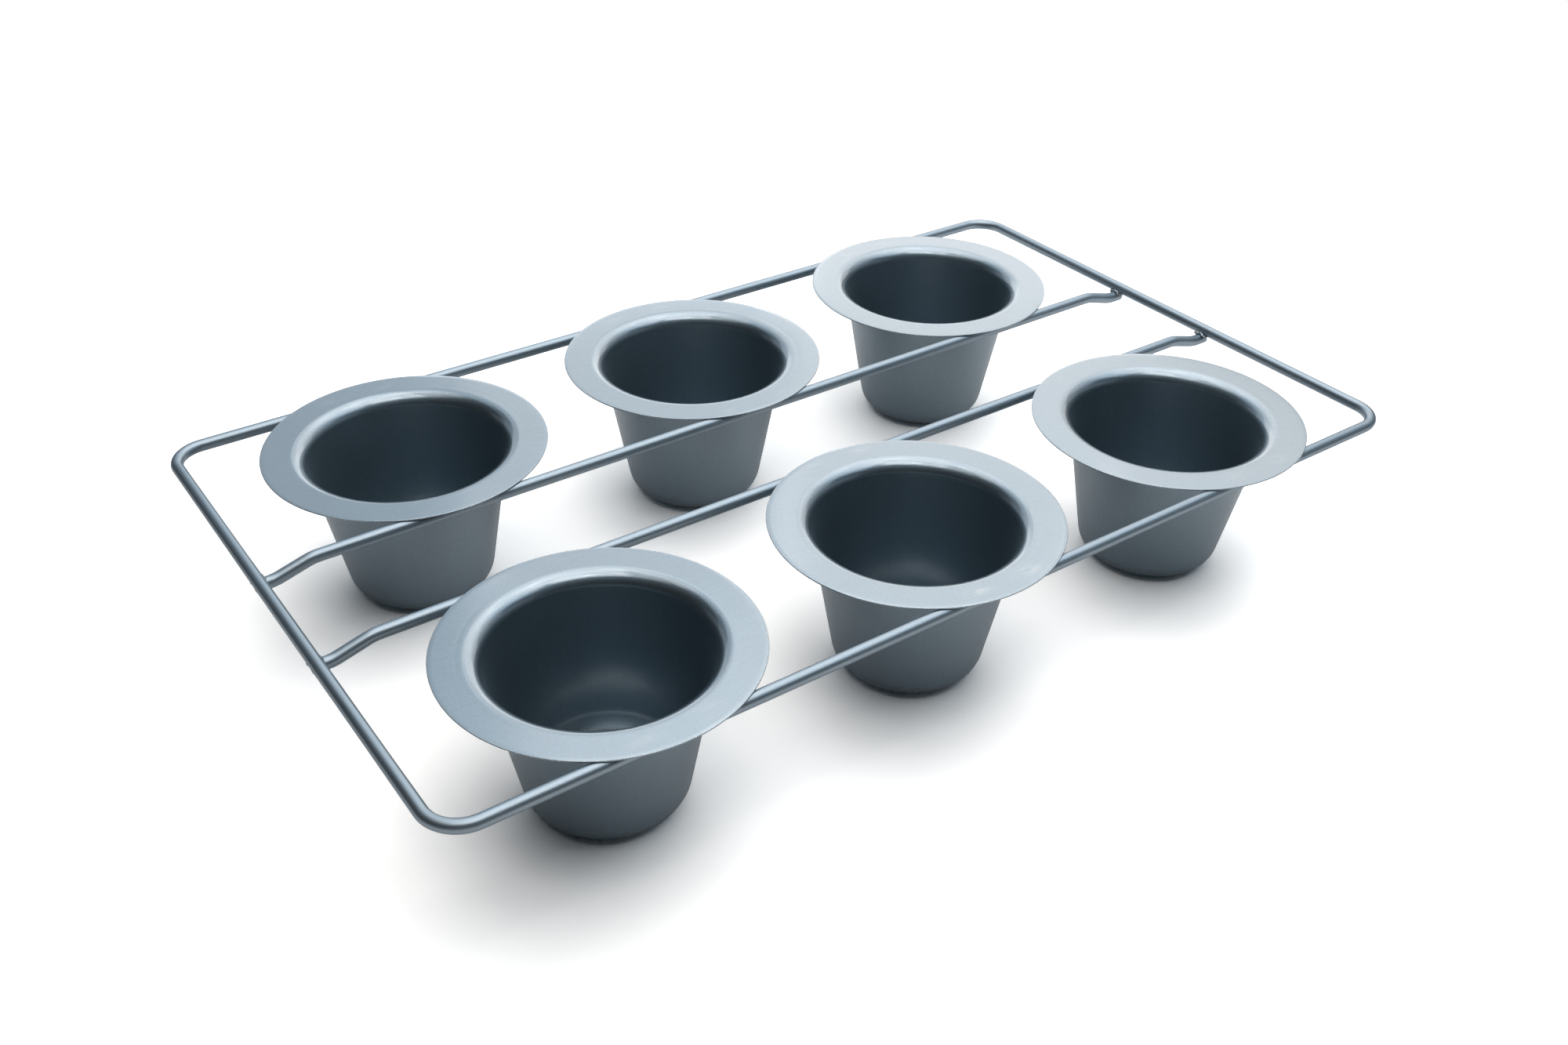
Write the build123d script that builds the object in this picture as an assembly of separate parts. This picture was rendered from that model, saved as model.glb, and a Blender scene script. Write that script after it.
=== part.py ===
from build123d import *
from math import atan2, cos, degrees
import os

# Popover pan: six deep flanged cups of thin sheet steel, spot-welded on to a frame of round wire.
# Lengths are millimetres. X runs along the pan, Y across it, Z up.
# The origin is the middle of the plan, on the plane that the six cup bases stand on.

# Cup sizes
pan_height = 61.0
sheet_thickness = 0.5
wall_top_radius = 37.2
flange_width = 14.55
base_radius = 26.0
lip_under_radius = 4.5
base_corner_radius = 10.5

# Cup layout: the gaps are from rim to rim, and from the end rims to the end rails
row_names = {"front": -1, "back": 1}
column_names = ["left", "middle", "right"]
cup_gap = 21.0
row_gap = 39.8
end_gap = 19.25

# Wire frame: a seat is how far outside the top of a cup's wall a wire's centreline lies
wire_diameter = 4.5
outer_rail_seat = 7.4
inner_wire_seat = 9.35
corner_bend_radius = 12.0

# Cranked ends of the inner wires
crank_foot = 6.0
crank_run = 13.5
crank_bend_radius = 16.0
end_stand_back = 0.6

# Crossing welds, where the inner wires pass under the end rails; the collar spreads past the wires' sides
weld_set_down = 0.6
collar_spread = 1.05
collar_thickness = 2.2
collar_edge_radius = 0.7

# Spot welds, between the flanges and the wires
nugget_thickness = 0.1
nugget_length = 5.0
nugget_width = 2.6
nugget_spacing = 22.6

# Butt weld that closes the frame loop
butt_weld_length = 2.0
butt_weld_flash = 0.2

# Places that follow from the sizes above
rim_diameter = 2 * (wall_top_radius + flange_width)
cup_pitch = rim_diameter + cup_gap
cup_row_y = (rim_diameter + row_gap) / 2
last_cup_x = cup_pitch * (len(column_names) - 1) / 2
wire_radius = wire_diameter / 2
rail_x = last_cup_x + rim_diameter / 2 + end_gap + wire_radius
rail_y = cup_row_y + wall_top_radius + outer_rail_seat
inner_wire_y = cup_row_y - wall_top_radius - inner_wire_seat
tip_x = rail_x + wire_radius - end_stand_back
flange_underside = pan_height - sheet_thickness
wire_height = flange_underside - nugget_thickness - wire_radius
crank_drop = wire_diameter - weld_set_down
foot_height = wire_height - crank_drop
collar_radius = wire_radius + collar_spread


def wire_along(path):
    """A round wire whose centreline is the path."""
    start = Plane(origin=path @ 0, z_dir=path % 0)
    return sweep(start * Circle(wire_radius), path=path)


def rail_bar(place, direction, length):
    """A straight piece of wire centred on a place, used to cut the seats of the welds."""
    return Plane(origin=place, z_dir=direction) * Cylinder(wire_radius, length)


# Frame loop: one wire bent round four corners, open only where its ends are butt-welded
def frame_wire():
    half_weld = butt_weld_length / 2
    route = [
        (half_weld, rail_y, wire_height),
        (rail_x, rail_y, wire_height),
        (rail_x, -rail_y, wire_height),
        (-rail_x, -rail_y, wire_height),
        (-rail_x, rail_y, wire_height),
        (-half_weld, rail_y, wire_height),
    ]
    return wire_along(FilletPolyline(*route, radius=corner_bend_radius))


# Butt weld: a short slug of weld metal, proud of the wire all round but dressed flat on top,
# so that the flange above it can sit down
def frame_butt_weld():
    proud_radius = wire_radius + butt_weld_flash
    place = Vector(0, rail_y, wire_height)
    slug = Plane(origin=place, z_dir=(1, 0, 0)) * Cylinder(proud_radius, butt_weld_length)
    dressed_off = Pos(0, rail_y, wire_height + wire_radius) * Box(
        2 * butt_weld_length, 2 * wire_diameter, wire_diameter, align=(Align.CENTER, Align.CENTER, Align.MIN)
    )
    return slug - dressed_off


# Inner wire: straight under the flanges, cranked down at both ends to pass below the end rails
def inner_wire(side):
    y = side * inner_wire_y
    foot_x = rail_x - crank_foot
    bend_x = foot_x - crank_run
    route = [
        (-tip_x, y, foot_height),
        (-foot_x, y, foot_height),
        (-bend_x, y, wire_height),
        (bend_x, y, wire_height),
        (foot_x, y, foot_height),
        (tip_x, y, foot_height),
    ]
    wire = wire_along(FilletPolyline(*route, radius=crank_bend_radius))
    for end in (-1, 1):
        wire = wire - rail_bar((end * rail_x, y, wire_height), (0, 1, 0), 2 * inner_wire_y)
    return wire


# Crossing weld: the collar of metal squeezed out where an end rail is welded down on an inner wire.
# It goes round the foot as far as the foot's cut end.
def crossing_weld(side, end):
    y = side * inner_wire_y
    middle = (wire_height + foot_height) / 2
    collar = Cylinder(collar_radius, collar_thickness)
    collar = fillet(collar.edges().filter_by(GeomType.CIRCLE), collar_edge_radius)
    collar = Pos(rail_x, y, middle) * collar
    beyond_end = Pos(tip_x, y, middle) * Box(
        wire_diameter, 2 * wire_diameter, wire_diameter, align=(Align.MIN, Align.CENTER, Align.CENTER)
    )
    rail = rail_bar((rail_x, y, wire_height), (0, 1, 0), 2 * inner_wire_y)
    foot = rail_bar((rail_x, y, foot_height), (1, 0, 0), 2 * inner_wire_y)
    right_weld = collar - beyond_end - rail - foot
    return right_weld if end > 0 else right_weld.mirror(Plane.YZ)


# Cup: one drawn sheet, with a flat base, a tapered wall and a wide flat flange
def sheet_line(inset):
    """One face of the sheet as corners and bend radii: inset 0 is the outside, inset 1 the inside."""
    wall_lean = atan2(wall_top_radius - base_radius, pan_height)
    level_inset = inset * sheet_thickness / cos(wall_lean)
    wall_slope = (wall_top_radius - base_radius) / pan_height
    base_z = inset * sheet_thickness
    flange_z = flange_underside + inset * sheet_thickness
    corners = [
        (0, 0, base_z),
        (base_radius + wall_slope * base_z - level_inset, 0, base_z),
        (base_radius + wall_slope * flange_z - level_inset, 0, flange_z),
        (rim_diameter / 2, 0, flange_z),
    ]
    bends = [base_corner_radius - inset * sheet_thickness, lip_under_radius + inset * sheet_thickness]
    return FilletPolyline(*corners, radius=bends)


def cup(x, y):
    outside = sheet_line(0)
    inside = sheet_line(1)
    rim_edge = Line(outside @ 1, inside @ 1)
    centre_edge = Line(inside @ 0, outside @ 0)
    section = make_face([outside, rim_edge, inside, centre_edge])
    return Pos(x, y, 0) * revolve(section, axis=Axis.Z)


# Spot welds of one cup: two nuggets on the outer rail and two on the inner wire
def spot_welds(x, row):
    pad = SlotOverall(nugget_length, nugget_width)
    nuggets = []
    for wire_y in (row * rail_y, row * inner_wire_y):
        seat = rail_bar((x, wire_y, wire_height), (1, 0, 0), rim_diameter)
        for along in (-nugget_spacing / 2, nugget_spacing / 2):
            block = Pos(x + along, wire_y, wire_height) * extrude(pad, flange_underside - wire_height)
            nuggets.append((block - seat).solid())
    return Compound(nuggets)


# All the named pieces
pieces = {
    "frame_wire": frame_wire(),
    "frame_butt_weld": frame_butt_weld(),
}
for row_name, side in row_names.items():
    pieces[f"inner_wire_{row_name}"] = inner_wire(side)
    for end_name, end in {"left": -1, "right": 1}.items():
        pieces[f"crossing_weld_{row_name}_{end_name}"] = crossing_weld(side, end)
    for column, column_name in enumerate(column_names):
        cup_x = column * cup_pitch - last_cup_x
        pieces[f"cup_{row_name}_{column_name}"] = cup(cup_x, side * cup_row_y)
        pieces[f"spot_welds_{row_name}_{column_name}"] = spot_welds(cup_x, side)

os.makedirs("parts", exist_ok=True)
for name, piece in pieces.items():
    piece.label = name
    export_step(piece, f"parts/{name}.step")

# A few sizes worked out from the model, to read against the real thing
draft = degrees(atan2(wall_top_radius - base_radius, pan_height))
frame_length = 2 * (rail_x + wire_radius)
frame_width = 2 * (rail_y + wire_radius)
print(f"frame {frame_length:.1f} by {frame_width:.1f} mm, rims {rim_diameter:.1f} mm across")
print(f"wall draft {draft:.1f} degrees, wire centre {wire_height:.2f} mm up, foot {foot_height:.2f} mm up")
print(f"{len(pieces)} named pieces")
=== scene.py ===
# %% [markdown]
# # A popover pan
# Six deep cups of thin coated steel hang by their flanges in a frame of round wire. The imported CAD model
# says where each piece is and how large. This notebook gives the pieces smooth skins, a blue-grey
# non-stick finish and studio light. Everything is in metres: X along the pan, Y to the back, Z up.

# %% Load the frame
import math

import bpy
import numpy as np
from mathutils import Matrix, Vector


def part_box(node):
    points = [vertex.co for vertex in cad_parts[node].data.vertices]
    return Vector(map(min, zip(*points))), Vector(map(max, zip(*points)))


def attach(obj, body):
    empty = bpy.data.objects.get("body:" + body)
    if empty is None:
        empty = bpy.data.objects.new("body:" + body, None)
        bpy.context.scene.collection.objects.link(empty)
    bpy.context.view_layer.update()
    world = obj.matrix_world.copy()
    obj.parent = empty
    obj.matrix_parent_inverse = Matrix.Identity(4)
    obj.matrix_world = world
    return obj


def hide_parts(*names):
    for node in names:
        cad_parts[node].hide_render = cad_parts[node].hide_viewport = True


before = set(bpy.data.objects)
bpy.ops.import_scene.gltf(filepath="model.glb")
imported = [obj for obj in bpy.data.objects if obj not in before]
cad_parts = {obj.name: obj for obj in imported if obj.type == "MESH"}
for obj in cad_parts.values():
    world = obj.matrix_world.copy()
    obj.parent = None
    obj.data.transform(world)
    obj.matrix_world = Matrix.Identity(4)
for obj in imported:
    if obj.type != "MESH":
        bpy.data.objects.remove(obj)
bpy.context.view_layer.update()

mm = 0.001
rows = {"front": -1, "back": 1}
columns = ["left", "middle", "right"]
ends = {"left": -1, "right": 1}


# %% [markdown]
# ## The view
# The photograph was taken with a slightly wide lens from the front left, about 60 centimetres away and
# looking 34 degrees down. The camera could be aimed at an empty with a constraint, but then it couldn't
# roll. Its place is given as lengths here and its turn as three angles, in the order in which a
# photographer would set a tripod: heading, tilt and roll.

# %% Camera
camera_place = (-292.5 * mm, -398.8 * mm, 352.1 * mm)
camera_heading = 35.86  # degrees to the right of +Y
camera_tilt = 33.98     # degrees below the horizon
camera_roll = 1.06      # degrees, clockwise as the picture turns
lens_length = 35.02     # millimetres
picture_width = 36      # millimetres
nearest_seen = 10 * mm

camera_data = bpy.data.cameras.new("camera")
camera_data.sensor_width = picture_width
camera_data.lens = lens_length
camera_data.clip_start = nearest_seen
camera = bpy.data.objects.new("camera", camera_data)
turn = (Matrix.Rotation(math.radians(-camera_heading), 4, "Z")
        @ Matrix.Rotation(math.radians(90 - camera_tilt), 4, "X")
        @ Matrix.Rotation(math.radians(camera_roll), 4, "Z"))
camera.matrix_world = Matrix.Translation(camera_place) @ turn
bpy.context.scene.collection.objects.link(camera)
bpy.context.scene.camera = camera
print("camera at", [round(v, 3) for v in camera_place])

# %% [markdown]
# ## Curves with rounded corners
# Both the cup's section and the route of every wire are straight runs joined by arcs. A curve object with
# bevelled corners could draw them, but its points would fall where Blender puts them. One function makes
# them all here: it takes corners and a bend radius for each, and returns the points in order.

# %% Rounded line
def spaced(start, end, step):
    """Evenly spaced points from start up to, but not including, end, about a step apart."""
    start, end = np.asarray(start, float), np.asarray(end, float)
    count = max(1, int(np.ceil(np.linalg.norm(end - start) / step)))
    share = np.arange(count)[:, None] / count
    return start + share * (end - start)


def rounded_line(corners, radii, step, arc_step=math.radians(4)):
    """Straight runs joined by arcs. At a corner where the line turns by the angle t, an arc of radius r
    starts and ends r times tan(t / 2) from the corner, and its centre lies along the bisector, r over
    cos(t / 2) away. A point on the arc is centre + r (cos a, sin a) in the plane of the two runs."""
    corners = [np.asarray(c, float) for c in corners]
    pieces, at = [], corners[0]
    for before, corner, after, radius in zip(corners, corners[1:], corners[2:], radii):
        come = (corner - before) / np.linalg.norm(corner - before)
        go = (after - corner) / np.linalg.norm(after - corner)
        angle = math.acos(float(np.clip(come @ go, -1, 1)))
        reach = radius * math.tan(angle / 2)
        start = corner - come * reach
        side = go - come * (go @ come)
        side /= np.linalg.norm(side)
        centre = start + side * radius
        turns = np.linspace(0, angle, max(3, int(angle / arc_step) + 2))[:, None]
        arc = centre + radius * (np.sin(turns) * come - np.cos(turns) * side)
        pieces += [spaced(at, start, step), arc[:-1]]
        at = arc[-1]
    pieces += [spaced(at, corners[-1], step), corners[-1][None]]
    return np.concatenate(pieces)


def length_along(line):
    """How far along a line each of its points lies."""
    return np.concatenate([[0], np.cumsum(np.linalg.norm(np.diff(line, axis=0), axis=1))])


quarter = rounded_line([(0, 0), (1, 0), (1, 1)], [1], 1)
print("a quarter circle of radius 1 comes out", round(length_along(quarter)[-1], 4), "long;",
      "half of pi is", round(math.pi / 2, 4))

# %% [markdown]
# ## From arrays to meshes
# Each skin is a grid of points worked out all at once. The grid's columns close on themselves, and a pole
# or a cap closes each open end, so every mesh is watertight with its faces outwards.

# %% Grid to mesh
def grid(x, y, z):
    """Points in an array of shape (rings, points, 3), from coordinates that may each change along the rings,
    round them, or both."""
    return np.stack(np.broadcast_arrays(x, y, z), 2)


def ring_mesh(name, rings, first_pole, last_pole):
    """A closed skin from rings of points, shape (rings, points, 3), with a fan of triangles from a pole
    to the first ring and another from the last ring to its pole."""
    count, around = rings.shape[:2]
    points = np.concatenate([rings.reshape(-1, 3), [first_pole], [last_pole]])
    row, col = np.meshgrid(np.arange(count - 1), np.arange(around), indexing="ij")
    here = (row * around + col).ravel()
    beside = (row * around + (col + 1) % around).ravel()
    quads = np.stack([here, beside, beside + around, here + around], 1)
    ring = np.arange(around)
    ring_next = (ring + 1) % around
    last = (count - 1) * around
    start_fan = np.stack([ring_next, ring, np.full(around, count * around)], 1)
    end_fan = np.stack([last + ring, last + ring_next, np.full(around, count * around + 1)], 1)
    mesh = bpy.data.meshes.new(name)
    mesh.from_pydata(points.tolist(), [], quads.tolist() + start_fan.tolist() + end_fan.tolist())
    mesh.update()
    mesh.shade_smooth()
    return mesh


def new_piece(mesh, node):
    """An object at the origin that rides on the pan and stands for a CAD node."""
    piece = bpy.data.objects.new(mesh.name, mesh)
    bpy.context.scene.collection.objects.link(piece)
    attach(piece, "root")
    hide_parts(node)
    return piece


def point_values(mesh, name, values):
    """A number for each point of a mesh, which a material can read by its name."""
    layer = mesh.attributes.new(name, "FLOAT", "POINT")
    layer.data.foreach_set("value", np.asarray(values, np.float32))


def drawing_places(mesh, places):
    """A place for each point of the rings, on which a material can lay marks that follow the surface. The
    two poles get the origin."""
    layer = mesh.attributes.new("draw_place", "FLOAT_VECTOR", "POINT")
    places = np.append(places.reshape(-1, 3), np.zeros((2, 3)), axis=0)
    layer.data.foreach_set("vector", places.astype(np.float32).ravel())


# %% [markdown]
# ## The cups
# A popover cup is drawn from one disc of sheet steel: a flat base, a rounded corner, a straight wall that
# leans out by ten degrees, a rounded lip and a wide level flange with a cut edge. It could be a lathe
# curve with a Screw modifier, but a section turned in numpy gives the same shape, keeps the mesh at the
# origin and lets every point know how far along the section it lies.

# %% Sizes of a cup
sheet = 0.5 * mm
wall_top_radius = 37.2 * mm
base_radius = 26.0 * mm
base_corner = 10.5 * mm
base_corner_inside = 14 * mm
lip_under = 5.2 * mm
edge_round = 0.15 * mm
edge_points = 3
groove_start = 5.2 * mm   # outside the top of the wall
groove_width = 1.8 * mm
groove_depth = 0.012 * mm
groove_bend = 12 * mm
section_step = 1.5 * mm   # between points on a straight run of the section
cup_steps = 180           # points round the cup
print("cup radius in mm:", round(base_radius / mm, 1), "at the base,",
      round(wall_top_radius / mm, 1), "at the top of the wall")


# %% Section of the sheet
def cup_section(rim_radius, height):
    """The sheet's outline as (radius, height) pairs, from the middle of the base outside, up the wall, round
    the cut edge of the rim and down the inside again. The inner line is the outer one moved in by the
    sheet's thickness, so the lip's bend radius differs by that thickness too. The base corner has a larger
    radius inside, where the punch's nose is blunter than the corner that it leaves outside. The draw die
    leaves the faintest groove in the flange, just outside the lip."""
    slope = (wall_top_radius - base_radius) / height
    inset = sheet * math.sqrt(1 + slope * slope)
    under = height - sheet
    edge_start = rim_radius - edge_round
    groove = wall_top_radius + groove_start

    outer = rounded_line(
        [(0, 0), (base_radius, 0), (base_radius + slope * under, under), (edge_start, under)],
        [base_corner, lip_under], section_step)
    inner = rounded_line(
        [(0, sheet), (base_radius + slope * sheet - inset, sheet), (wall_top_radius - inset, height),
         (groove, height), (groove + groove_width / 2, height - groove_depth),
         (groove + groove_width, height), (edge_start, height)],
        [base_corner_inside, lip_under + sheet, groove_bend, groove_bend, groove_bend], section_step)
    turns = np.linspace(0, math.pi / 2, edge_points + 1)[1:, None]
    low_round = np.hstack([edge_start + edge_round * np.sin(turns), under + edge_round * (1 - np.cos(turns))])
    high_round = np.hstack([low_round[::-1, :1], height + under - low_round[::-1, 1:]])
    return np.concatenate([outer, low_round, high_round, inner[::-1]])


# %% [markdown]
# ## Where a cup is marked
# Making and use leave their marks in set places: the cut edge, the corner that the cup stands on, and the
# spot welds. A ring low on the inside base corner carries a painted highlight and is made glossier. They
# could be painted by hand on a picture. Here each is a number from 0 to 1 at every point of the mesh, worked
# out from where the point lies, and the finish decides later what the number does to colour and gloss.

# %% Sizes of the marks
edge_reach = 1.2 * edge_round
highlight_ring_height = 5 * mm    # where the ring of painted highlight lies, on the inside base corner
highlight_ring_reach = 3.2 * mm
stand_reach = 1.2 * mm  # how high the outside rubs on what it stands on
ironed_from = 56 * mm   # heights over which the dull wall turns into the smooth lip and flange
ironed_full = 60.4 * mm
skin_inside, skin_outside = 0.35, 0.5   # how much of the clear skin the walls keep; the lip keeps it all
streak_circle = 40 * mm  # drawing marks are spaced as on a circle of this radius
spot_half = np.array([2.5, 1.3]) * mm    # half of a weld's length and width
spot_reach = np.array([4.5, 2.2]) * mm   # how far its mark spreads
spot_strength = {"cup_front_middle": 1.0}   # the marks show best on this cup
usual_spot_strength = 0.45
inner_spot_share = 0.4   # the marks over the inner wire are fainter than those over the outer rail


# %% Marks over the spot welds
def weld_marks(name, rings):
    """Each spot weld leaves a faint mark on the flange above it: a bell of the distance (dx, dy) from the
    weld, exp(-(dx / reach x)^2 - (dy / reach y)^2). The two marks over the inner wire are the fainter."""
    low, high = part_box(name.replace("cup_", "spot_welds_"))
    middle_y = (low.y + high.y) / 2
    marks = np.zeros(rings.shape[:2])
    for x in (low.x + spot_half[0], high.x - spot_half[0]):
        for y in (low.y + spot_half[1], high.y - spot_half[1]):
            away = (rings[:, :, :2] - (x, y)) / spot_reach
            share = 1 if abs(y) > abs(middle_y) else inner_spot_share
            marks += share * np.exp(-(away ** 2).sum(2))
    return marks * (rings[:, :, 2] > low.z) * spot_strength.get(name, usual_spot_strength)


# %% Turn the cups
def turned_cup(name):
    """A surface of revolution: the point at section point (r, z) and angle a is the cup's centre plus
    (r cos a, r sin a, z)."""
    low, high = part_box(name)
    centre = np.array([(low.x + high.x) / 2, (low.y + high.y) / 2, low.z])
    section = cup_section((high.x - low.x) / 2, high.z - low.z)
    radius, height = section[1:-1, :1], section[1:-1, 1:]
    angle = np.arange(cup_steps)[None] * 2 * math.pi / cup_steps
    rings = grid(radius * np.cos(angle), radius * np.sin(angle), height) + centre
    poles = [centre + (0, 0, section[0, 1]), centre + (0, 0, section[-1, 1])]
    mesh = ring_mesh(name.replace("cup_", "drawn_cup_"), rings, *poles)

    inside = np.arange(len(radius))[:, None] > np.argmax(radius)
    off_middle = radius > base_radius / 2
    ironed = np.clip((height - ironed_from) / (ironed_full - ironed_from), 0, 1)
    marks = {
        "cut_edge": np.abs(radius - radius.max()) < edge_reach,
        # a ring of painted highlight on the inside base corner, which is also made glossier
        "ring_gloss_and_painted_highlight": inside * np.exp(-((height - highlight_ring_height) / highlight_ring_reach) ** 2) * off_middle,
        "stand": ~inside * np.exp(-(height / stand_reach) ** 2) * off_middle,
        "weld_mark": weld_marks(name, rings),
        "ironed": ironed,
        "skin": np.where(inside, skin_inside, skin_outside) * (1 - ironed) + ironed,
    }
    for mark, amount in marks.items():
        point_values(mesh, mark, np.append(np.broadcast_to(amount, rings.shape[:2]).ravel(), [0, 0]))
    run = length_along(section)[1:-1, None]
    drawing_places(mesh, grid(streak_circle * np.cos(angle), streak_circle * np.sin(angle), run))
    return mesh


cups = {}
for row in rows:
    for column in columns:
        node = f"cup_{row}_{column}"
        cups[node] = new_piece(turned_cup(node), node)
print("cups:", len(cups), "faces in each:", len(cups[node].data.polygons))

# %% [markdown]
# ## The wires
# The frame is one wire bent into a loop, and the two inner wires are cranked at their ends to pass under
# it. A wire is a circle carried along its route. The routes are flat, so the circle keeps one axis square
# to the route's plane, and it never twists.

# %% Sizes of the wires
wire_steps = 32       # points round the wire
run_step = 5 * mm     # between points on its straight runs
corner_bend = 12.0 * mm
crank_foot = 6.0 * mm
crank_run = 13.5 * mm
crank_bend = 16.0 * mm
cut_chamfer = 0.25 * mm
crease = math.radians(40)   # where two faces of a wire meet at more than this, the edge stays sharp
foot_set_back = 1.0 * mm    # the feet are cut short of the rails' outer sides
frame_low, frame_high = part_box("frame_wire")
wire_radius = (frame_high.z - frame_low.z) / 2
rail_x = frame_high.x - wire_radius
rail_y = frame_high.y - wire_radius
rail_z = frame_high.z - wire_radius
weld_low, weld_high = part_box("frame_butt_weld")


# %% Bend the wires
def wire_mesh(name, route, plane_normal):
    """A tube with chamfered ends: the point at route point p and angle a is p + r (cos a n + sin a b), where
    n is the normal of the route's plane and b is square to n and to the route."""
    along = np.gradient(route, axis=0)
    along /= np.linalg.norm(along, axis=1)[:, None]
    normal = np.asarray(plane_normal, float)
    across = np.cross(along, normal)
    angle = np.arange(wire_steps) * 2 * math.pi / wire_steps
    circle = np.cos(angle)[None, :, None] * normal + np.sin(angle)[None, :, None] * across[:, None]
    rings = route[:, None] + wire_radius * circle
    inset = (wire_radius - cut_chamfer) * circle
    start = route[0] + inset[:1]
    end = route[-1] + inset[-1:]
    rings[0] += along[0] * cut_chamfer
    rings[-1] -= along[-1] * cut_chamfer
    rings = np.concatenate([start, rings, end])
    mesh = ring_mesh(name, rings, route[0], route[-1])
    mesh.set_sharp_from_angle(angle=crease)

    cut = np.zeros(len(mesh.vertices))
    cut[:wire_steps] = cut[-wire_steps - 2:] = 1
    point_values(mesh, "cut_end", cut)
    run = length_along(route)
    run = np.concatenate([run[:1], run, run[-1:]])[:, None]
    drawing_places(mesh, grid(wire_radius * np.cos(angle), wire_radius * np.sin(angle), run))
    return mesh


loop_corners = [
    (weld_high.x, rail_y, rail_z), (rail_x, rail_y, rail_z), (rail_x, -rail_y, rail_z),
    (-rail_x, -rail_y, rail_z), (-rail_x, rail_y, rail_z), (weld_low.x, rail_y, rail_z),
]
loop_route = rounded_line(loop_corners, [corner_bend] * 4, run_step)
loop_mesh = wire_mesh("bent_frame_wire", loop_route, (0, 0, 1))
wires = {"frame_wire": new_piece(loop_mesh, "frame_wire")}

for row in rows:
    node = f"inner_wire_{row}"
    low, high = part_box(node)
    y = (low.y + high.y) / 2
    foot_z = low.z + wire_radius
    foot_x = rail_x - crank_foot
    bend_x = foot_x - crank_run
    tip_x = high.x - foot_set_back
    corners = [(-tip_x, y, foot_z), (-foot_x, y, foot_z), (-bend_x, y, rail_z),
               (bend_x, y, rail_z), (foot_x, y, foot_z), (tip_x, y, foot_z)]
    route = rounded_line(corners, [crank_bend] * 4, run_step)
    wires[node] = new_piece(wire_mesh(f"cranked_{node}", route, (0, 1, 0)), node)
print("wire thickness", round(2 * wire_radius / mm, 2), "mm; loop points", len(loop_route))

# %% [markdown]
# ## The crossing welds
# Where an inner wire passes under an end rail, the two are pressed together and welded by their own
# resistance. Hot metal is squeezed out round the crossing and freezes as a small rough ridge, which shows on
# top of the foot beside the rail. An ellipsoid whose radius swells and shrinks in a few waves gives it.

# %% Sizes of a weld bead
bead_half = np.array([2.5, 3.3, 1.7]) * mm   # half sizes along X, Y and Z
bead_inward = 0.9 * mm   # from the rail's middle towards the pan
bead_lumps = 0.07        # the height of a wave, as a share of the radius
bead_rings, bead_steps = 30, 48
first_seed = 7


# %% Squeeze out the beads
def bead_mesh(name, centre, seed):
    """The point at latitude t and longitude a is the centre plus (cos t cos a, cos t sin a, sin t) times the
    half sizes and times 1 + lumps, where the lumps are four sine waves round and along the bead."""
    tilt = np.linspace(-math.pi / 2, math.pi / 2, bead_rings + 2)[1:-1, None]
    angle = np.arange(bead_steps)[None] * 2 * math.pi / bead_steps
    phase = np.random.default_rng(seed).uniform(0, 2 * math.pi, 4)
    waves = (np.sin(3 * angle + phase[0]) * np.cos(2 * tilt)
             + np.sin(5 * angle + 4 * tilt + phase[1])
             + 0.6 * np.sin(9 * angle - 5 * tilt + phase[2])
             + 0.5 * np.sin(8 * tilt + 2 * angle + phase[3]))
    swell = 1 + bead_lumps * np.cos(tilt) * waves
    directions = grid(np.cos(tilt) * np.cos(angle), np.cos(tilt) * np.sin(angle), np.sin(tilt))
    rings = centre + directions * swell[:, :, None] * bead_half
    pole = np.array([0, 0, bead_half[2]])
    return ring_mesh(name, rings, centre - pole, centre + pole)


beads = {}
for row in rows:
    for end, way in ends.items():
        node = f"crossing_weld_{row}_{end}"
        low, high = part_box(node)
        centre = np.array([way * (rail_x - bead_inward), (low.y + high.y) / 2, (low.z + high.z) / 2])
        mesh = bead_mesh(node.replace("crossing_weld", "weld_bead"), centre, first_seed + len(beads))
        beads[node] = new_piece(mesh, node)
bead_tip = max(abs(v.co.x) for v in mesh.vertices)
print("weld beads:", len(beads), "furthest out:", round(bead_tip / mm, 2), "mm")

# %% [markdown]
# ## A small language for materials
# Shader nodes are sums written with wires. This class wraps a socket, so that ordinary Python arithmetic
# adds the Math nodes, and a material reads like a formula.

# %% Shader arithmetic
class Value:
    """A socket that can be added to, taken from and multiplied with numbers and other sockets."""

    def __init__(self, nodes, socket):
        self.nodes, self.socket = nodes, socket

    def maths(self, operation, first, second):
        return self.nodes.node("ShaderNodeMath", {"operation": operation}, {0: first, 1: second})

    def __add__(self, other): return self.maths("ADD", self, other)
    def __radd__(self, other): return self.maths("ADD", other, self)
    def __sub__(self, other): return self.maths("SUBTRACT", self, other)
    def __rsub__(self, other): return self.maths("SUBTRACT", other, self)
    def __mul__(self, other): return self.maths("MULTIPLY", self, other)
    def __rmul__(self, other): return self.maths("MULTIPLY", other, self)


class Nodes:
    """The nodes of a material or of the world."""

    def __init__(self, tree):
        self.tree = tree

    def connect(self, socket, value):
        if isinstance(value, Value):
            self.tree.links.new(value.socket, socket)
        else:
            socket.default_value = value

    def node(self, kind, settings=None, inputs=None, output=0):
        """Adds any node: its settings first, then its sockets, by name or by number."""
        node = self.tree.nodes.new(kind)
        for key, value in (settings or {}).items():
            setattr(node, key, value)
        for key, value in (inputs or {}).items():
            self.connect(node.inputs[key], value)
        return Value(self, node.outputs[output])

    def ray(self, kind):
        """1 for rays of one kind, such as those that leave the camera."""
        return self.node("ShaderNodeLightPath", output=f"Is {kind} Ray")


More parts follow.
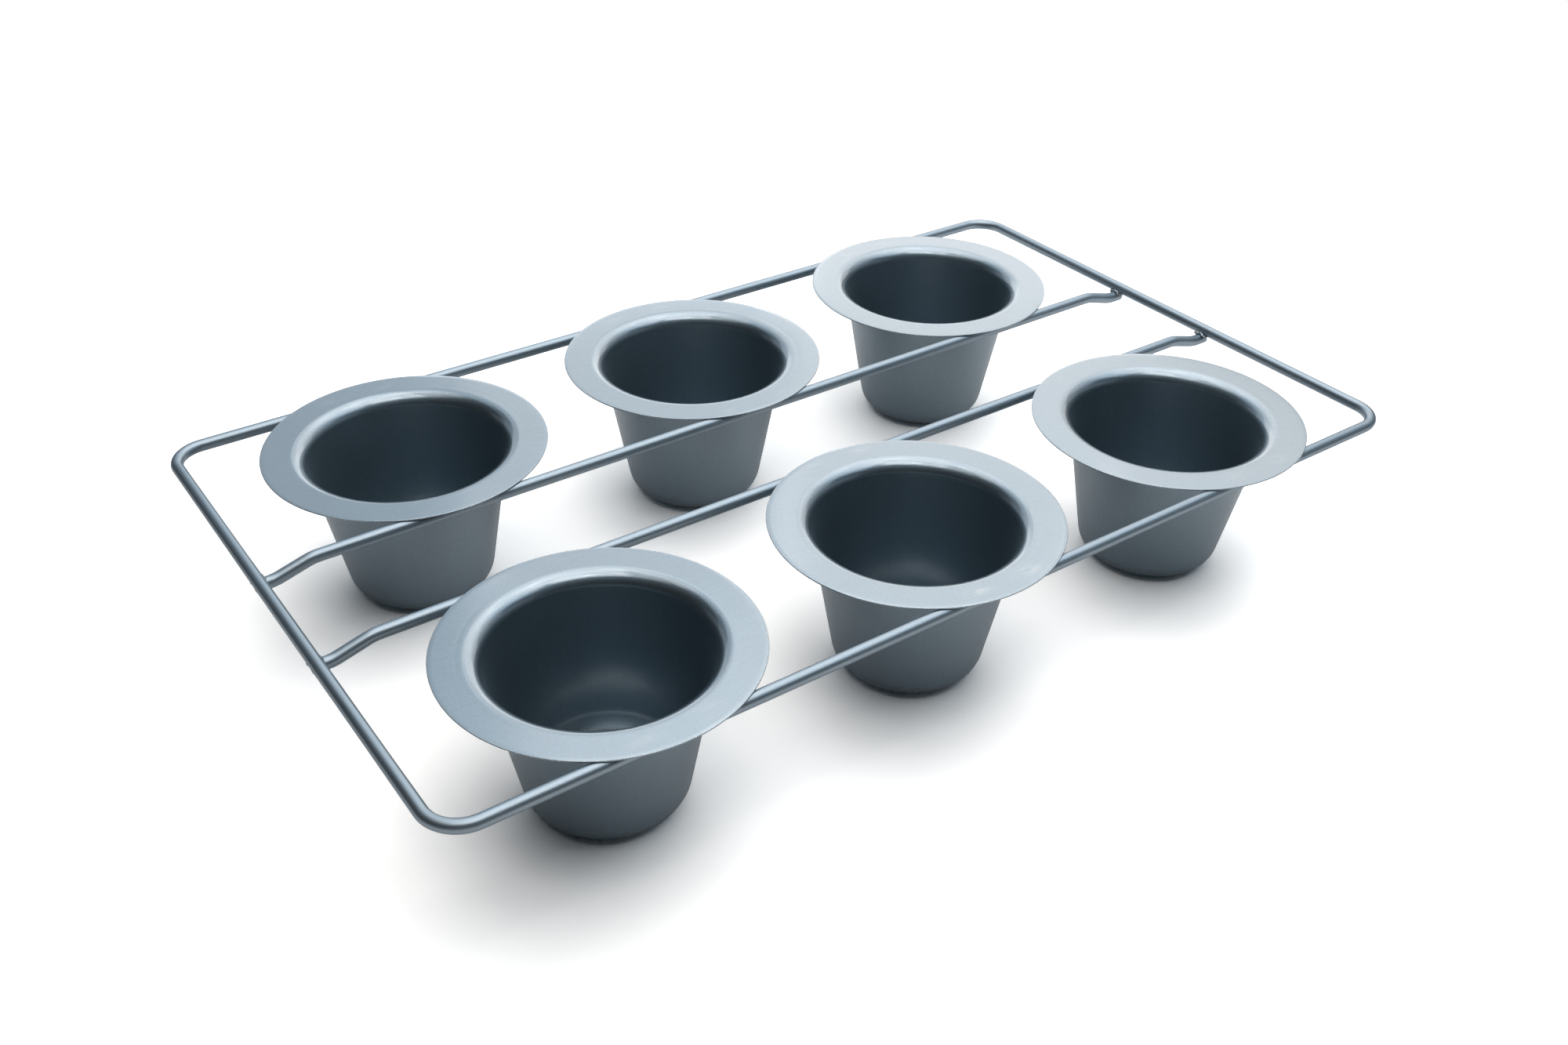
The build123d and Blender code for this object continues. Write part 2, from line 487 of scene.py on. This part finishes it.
class Finish(Nodes):
    """A material under construction."""

    def __init__(self, name):
        self.material = bpy.data.materials.new(name)
        self.material.use_nodes = True
        super().__init__(self.material.node_tree)
        self.surface = self.tree.nodes["Principled BSDF"]

    def place(self):
        """Where a point lies, in metres from the object's origin."""
        return self.node("ShaderNodeTexCoord", output="Object")

    def attribute(self, name, output="Fac"):
        """A number or a place that the mesh keeps for each of its points."""
        return self.node("ShaderNodeAttribute", {"attribute_name": name}, output=output)

    def stretch(self, place, scale):
        """A place scaled along each axis: noise on it is long where the scale is small."""
        return self.node("ShaderNodeVectorMath", {"operation": "MULTIPLY"}, {0: place, 1: scale})

    def noise(self, place, size, detail=2.0, roughness=0.5):
        """Soft noise from 0 to 1 whose blotches are about one size across."""
        return self.node("ShaderNodeTexNoise", {},
                         {"Vector": place, "Scale": 1 / size, "Detail": detail, "Roughness": roughness})

    def between(self, value, low, high):
        """0 where a value is below low, 1 above high, and a smooth step between."""
        return self.node("ShaderNodeMapRange", {"interpolation_type": "SMOOTHSTEP"},
                         {"Value": value, "From Min": low, "From Max": high})

    def mix(self, share, first, second):
        """A colour that goes from the first to the second as share goes from 0 to 1."""
        return self.node("ShaderNodeMix", {"data_type": "RGBA"}, {0: share, 6: first, 7: second}, 2)

    def bump(self, height):
        """A normal that leans with a height in metres."""
        return self.node("ShaderNodeBump", {}, {"Height": height, "Distance": 1.0, "Strength": 1.0})

    def set(self, **sockets):
        for key, value in sockets.items():
            self.connect(self.surface.inputs[key.replace("_", " ")], value)


def swing(noise, amount):
    """A noise as a change about zero, whose whole swing is the amount."""
    return (noise - 0.5) * amount


# %% [markdown]
# ## The coating
# The whole pan wears one baked-on coating: a satin blue-grey with fine metal flake in it, under a thin clear
# skin. It is a metal to the eye, since nearly all of its colour is in its reflections, so Metallic is 1, the
# flake gives a broad highlight and the clear skin a sharper, colourless one. The flanges and lips were ironed
# smooth in the press, so the skin is full and glossy there and dull on the drawn walls. Over that lie the
# marks of making: flake grain, orange peel, the mill's rolling lines, the punch's drawing marks, slow waves
# in the sheet and clouds in the coat.

# %% Colours of the coating
flake_colour = (0.164, 0.226, 0.272)
wire_flake = (0.188, 0.237, 0.277)
# bare steel for the worn specks, and also the colour of the painted highlight ring
bare_steel_and_highlight = (0.62, 0.62, 0.61, 1.0)
wire_edge_tint = (0.2, 0.24, 0.3, 1.0)   # of the wires' own metal, seen nearly edge-on
skin_bend, skin_blur = 2.2, 0.15   # the clear skin's refractive index and roughness
wire_skin, wire_skin_bend, wire_skin_blur = 0.6, 2.0, 0.25


def tone(colour, factor):
    """A colour made darker or lighter, with the alpha that a socket wants."""
    return tuple(min(1.0, c * factor) for c in colour) + (1.0,)


cup_tones = tone(flake_colour, 0.84), tone(flake_colour, 1.16)
wire_tones = tone(wire_flake, 1.2), tone(wire_flake, 1.55)
# the wires' cut ends are painted dark as their shade
cut_end_painted_shade = tone(wire_flake, 0.25)
bead_tones = tone(flake_colour, 0.3), tone(flake_colour, 0.9)
print("darkest and lightest flake on a cup:", *[[round(c, 2) for c in colour[:3]] for colour in cup_tones])

# %% Sizes of the marks in the coating
grain_size = 0.45 * mm
peel_size = 1.6 * mm
cloud_size = 42 * mm
streak_size = 0.9 * mm       # across the punch's drawing marks
rolling_size = 0.7 * mm      # across the mill's rolling lines
smear_size = 3.2 * mm
wire_line_size = 0.35 * mm   # across a wire's drawing lines
lump_size = 0.9 * mm
up_the_wall = (1, 1, 0.04)   # lines run along the axis whose number is small
along_the_pan = (0.03, 1, 1)
along_the_wire = (1, 1, 0.03)
smear_stretch = (0.4, 1, 1)
print("marks:", round(wire_line_size / mm, 2), "mm across a line,", round(cloud_size / mm), "across a cloud")


# %% What every coated piece shares
def coat_of_flake(name):
    """Starts a finish, and returns it with its place and its grain."""
    finish = Finish(name)
    finish.set(Metallic=1.0, Coat_Weight=1.0, Coat_Roughness=skin_blur, Coat_IOR=skin_bend)
    place = finish.place()
    return finish, place, finish.noise(place, grain_size, detail=3.0, roughness=0.65)


def peel_and_clouds(finish, place):
    """The orange peel of a sprayed coat, and the clouds where it lies a little thicker or thinner."""
    return finish.noise(place, peel_size), finish.noise(place, cloud_size, detail=4.0, roughness=0.55)


# %% [markdown]
# On a cup the marks meet. The cut edge and the standing corner are worn to bare steel in specks, where grain
# and clouds together pass a limit. The weld marks are faint smears, broken up by a noise of their own. Each
# sum below starts from a middle value and lets every noise swing about it. The heights are in millimetres.

# %% Cups
def cup_finish():
    finish, place, grain = coat_of_flake("cup_coating")
    peel, cloud = peel_and_clouds(finish, place)
    draw_place = finish.attribute("draw_place", "Vector")
    cut_edge, ring_gloss_and_painted_highlight, stand, weld_mark, ironed, skin = [
        finish.attribute(name) for name in ("cut_edge", "ring_gloss_and_painted_highlight", "stand", "weld_mark", "ironed", "skin")]
    streaks = finish.noise(finish.stretch(draw_place, up_the_wall), streak_size, roughness=0.6)
    rolling = finish.noise(finish.stretch(place, along_the_pan), rolling_size, roughness=0.6)
    smear = finish.noise(finish.stretch(place, smear_stretch), smear_size)
    mark = weld_mark * finish.between(smear, low=0.3, high=0.7)

    edge_wear = finish.between(cut_edge * grain, low=0.52, high=0.62)
    stand_wear = finish.between(stand * (grain + cloud), low=0.95, high=1.3) * 0.5
    # the ring on the inside base corner is lightened towards steel as a painted highlight; the worn specks go
    # to bare steel
    wear_and_painted_highlight = (edge_wear + stand_wear) * 0.4 + ring_gloss_and_painted_highlight * 0.45 + mark * 0.3
    shade = 0.5 + swing(grain, 1.5) + swing(cloud, 0.6) + swing(streaks, 0.3) + swing(rolling, 0.35)
    colour = finish.mix(shade, *cup_tones)
    roughness = 0.54 + swing(cloud, 0.08) + swing(grain, 0.1) - ironed * 0.17 - ring_gloss_and_painted_highlight * 0.3 + mark * 0.1
    height = (peel * 0.011 + grain * 0.005 + streaks * 0.003 + rolling * 0.004 + cloud * 0.06
              - weld_mark * 0.03 + mark * 0.02)
    finish.set(Base_Color=finish.mix(wear_and_painted_highlight, colour, bare_steel_and_highlight), Roughness=roughness, Coat_Weight=skin,
               Normal=finish.bump(height * mm))
    return finish.material


# %% [markdown]
# A wire has the same coat, but the drawing lines along it and its small radius blur the skin's highlight.
# Seen nearly edge-on a metal turns white, which the real wires don't, so the tint of that edge is set dark.
# The cut ends are rough, and painted dark as the shade on their end faces.

# %% Wires
def wire_finish():
    finish, place, grain = coat_of_flake("wire_coating")
    peel, cloud = peel_and_clouds(finish, place)
    draw_place = finish.attribute("draw_place", "Vector")
    line_place = finish.stretch(draw_place, along_the_wire)
    lines = finish.noise(line_place, wire_line_size, detail=3.0, roughness=0.6)

    shade = 0.5 + swing(grain, 0.9) + swing(cloud, 0.5) + swing(lines, 0.4)
    colour = finish.mix(shade, *wire_tones)
    height = peel * 0.012 + grain * 0.004 + lines * 0.008
    # the cut ends get their painted shade
    finish.set(Base_Color=finish.mix(finish.attribute("cut_end"), colour, cut_end_painted_shade),
               Roughness=0.46 + swing(cloud, 0.1) + swing(lines, 0.1),
               Coat_Weight=wire_skin, Coat_IOR=wire_skin_bend, Coat_Roughness=wire_skin_blur,
               Specular_Tint=wire_edge_tint, Normal=finish.bump(height * mm))
    return finish.material


# %% [markdown]
# Weld metal freezes rough. One noise gives its lumps: the colour is darker and duller where the noise is low,
# and the same noise lifts the surface.

# %% Weld metal
def weld_finish():
    finish, place, grain = coat_of_flake("weld_metal")
    lumps = finish.noise(place, lump_size, detail=4.0, roughness=0.6)
    raised = finish.between(lumps, low=0.38, high=0.5)
    finish.set(Base_Color=finish.mix(raised, *bead_tones),
               Roughness=0.62 - raised * 0.14 + swing(grain, 0.1),
               Normal=finish.bump((lumps * 0.16 + grain * 0.02) * mm))
    return finish.material


# %% Put the finishes on
cup_coating, wire_coating, weld_metal = cup_finish(), wire_finish(), weld_finish()
for pieces, material in ((cups, cup_coating), (wires, wire_coating), (beads, weld_metal)):
    for piece in pieces.values():
        piece.data.materials.append(material)
for name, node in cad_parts.items():
    if name.startswith("spot_welds") or name == "frame_butt_weld":
        node.data.materials.clear()
        node.data.materials.append(weld_metal)
print("finishes:", [m.name for m in (cup_coating, wire_coating, weld_metal)])

# %% [markdown]
# ## Studio
# The pan stands on a sheet of white paper. In the photograph the paper is exposed until it is pure white and
# only the tight shadows keep some grey. That is done by the paper itself, which the camera sees more than
# twice as bright as it lights the pan, and not by more light. Reflections see a small share of that lift.
# Away from the pan the paper goes over into plain white, as the world behind it is, so that no horizon shows.

# %% Paper
floor_half = 1.3   # metres
floor_drop = 0.2 * mm   # below the cup bases, so that two faces never lie in one plane
fibre_size = 0.8 * mm
fibre_depth = 0.02   # millimetres
paper_white = (0.81, 0.80, 0.79, 1.0)
paper_gain = 2.2        # how much brighter the camera sees it
paper_mirrored = 0.06   # the share of the lift that reflections see
white_from, white_full = 0.45, 0.9   # metres from the pan's middle
pure_white = (1.0, 1.0, 1.0, 1.0)

floor_mesh = bpy.data.meshes.new("floor")
floor_corners = [(x * floor_half, y * floor_half, -floor_drop)
                 for x, y in ((-1, -1), (1, -1), (1, 1), (-1, 1))]
floor_mesh.from_pydata(floor_corners, [], [(0, 1, 2, 3)])
floor = bpy.data.objects.new("floor", floor_mesh)
bpy.context.scene.collection.objects.link(floor)

paper = Finish("paper")
paper_place = paper.place()
fibres = paper.noise(paper_place, fibre_size, detail=4.0, roughness=0.6)
paper_bump = paper.bump(fibres * fibre_depth * mm)
lifted_white = tuple(c * paper_gain for c in paper_white[:3]) + (1.0,)
plain, lifted = [paper.node("ShaderNodeBsdfDiffuse", {}, {"Color": colour, "Normal": paper_bump})
                 for colour in (paper_white, lifted_white)]
white = paper.node("ShaderNodeEmission", {}, {"Color": pure_white, "Strength": 1.0})
seen = paper.ray("Camera")
mirrored = (paper.ray("Glossy") + paper.ray("Transmission")) * paper_mirrored
near_look = paper.node("ShaderNodeMixShader", {}, {0: seen + mirrored, 1: plain, 2: lifted})
distance = paper.node("ShaderNodeVectorMath", {"operation": "LENGTH"}, {0: paper_place}, "Value")
far_share = seen * paper.between(distance, white_from, white_full)
paper_look = paper.node("ShaderNodeMixShader", {}, {0: far_share, 1: near_look, 2: white})
paper.connect(paper.tree.nodes["Material Output"].inputs["Surface"], paper_look)
floor_mesh.materials.append(paper.material)
print("paper:", 2 * floor_half, "m square, seen", paper_gain, "times as bright as it is")

# %% [markdown]
# The light is a bank of large soft boxes behind the pan and to its right, in three rows, with a group
# overhead. The front stays dark, which is what makes the near walls and the wires' near sides so deep. Each
# lamp is given by its bearing from the middle of the pan, clockwise from the way the camera looks, and by
# its height above the horizon. The ends of the bank are a little bluer than its middle, as the flanges of
# the two left cups show. The world is white to the camera, and adds a trace of fill to reflections.

# %% Lights
lamp_distance = 1.3   # metres
lamp_aim = Vector((0, 0, 0.05))
lamp_rows = [  # height in degrees, first bearing, step, width and height in metres, watts
    (17, -70, 20, 0.46, 0.36, [0.09, 0.24, 0.48, 0.94, 0.97, 0.61, 0.25, 0.17, 0.17, 0.16]),
    (33, -50, 20, 0.40, 0.36, [0.10, 0.37, 0.57, 0.75, 0.73, 0.45, 0.31]),
    (49, -50, 20, 0.32, 0.36, [0.21, 0.35, 0.64, 0.70, 0.74, 0.60, 0.49, 0.51, 0.41]),
    (65, -75, 30, 0.30, 0.45, [0.60, 0.74, 0.80, 0.95, 0.94, 0.86, 0.93]),
    (65, 150, 45, 0.50, 0.45, [2.16, 1.68, 0.74]),
    (89, 0, 0, 0.60, 0.60, [2.76]),
]
bank_middle, bank_even, bank_end = 20, 20, 60   # degrees of bearing, the last two from the middle
bank_top = 60   # degrees; the lamps above it are all warm
warm_white, blue_white = Vector((1.01, 1.0, 0.99)), Vector((0.85, 1.0, 1.13))
world_mirrored = 0.03   # the world's strength in reflections


def soft_light(bearing, height, width, tall, power):
    """A lamp that faces the pan from the direction (sin b cos h, cos b cos h, sin h)."""
    name = f"soft_box_{height}_{bearing}"
    turn, lift = math.radians(camera_heading + bearing), math.radians(height)
    direction = Vector((math.sin(turn) * math.cos(lift), math.cos(turn) * math.cos(lift), math.sin(lift)))
    data = bpy.data.lights.new(name, "AREA")
    data.shape, data.size, data.size_y, data.energy = "RECTANGLE", width, tall, power
    towards_end = (abs(bearing - bank_middle) - bank_even) / (bank_end - bank_even)
    blueness = 0 if height > bank_top else min(1, max(0, towards_end))
    data.color = warm_white.lerp(blue_white, blueness)
    light = bpy.data.objects.new(name, data)
    light.location = lamp_aim + lamp_distance * direction
    light.rotation_euler = direction.to_track_quat("Z", "Y").to_euler()
    light.visible_camera = False
    bpy.context.scene.collection.objects.link(light)
    return light


lamps = []
for height, first, step, width, tall, powers in lamp_rows:
    for number, power in enumerate(powers):
        lamps.append(soft_light(first + number * step, height, width, tall, power))
world = bpy.data.worlds.new("studio")
bpy.context.scene.world = world
world.use_nodes = True
backdrop = Nodes(world.node_tree)
background = world.node_tree.nodes["Background"]
backdrop.connect(background.inputs["Color"], pure_white)
mirrored = (backdrop.ray("Glossy") + backdrop.ray("Transmission")) * world_mirrored
backdrop.connect(background.inputs["Strength"], backdrop.ray("Camera") + mirrored)
print("lamps:", len(lamps), "together", round(sum(lamp.data.energy for lamp in lamps), 1), "W")

# %% [markdown]
# ## Last settings
# The Standard view shows the colours as they are worked out, with no film curve over them.

# %% View settings
bpy.context.scene.view_settings.view_transform = "Standard"
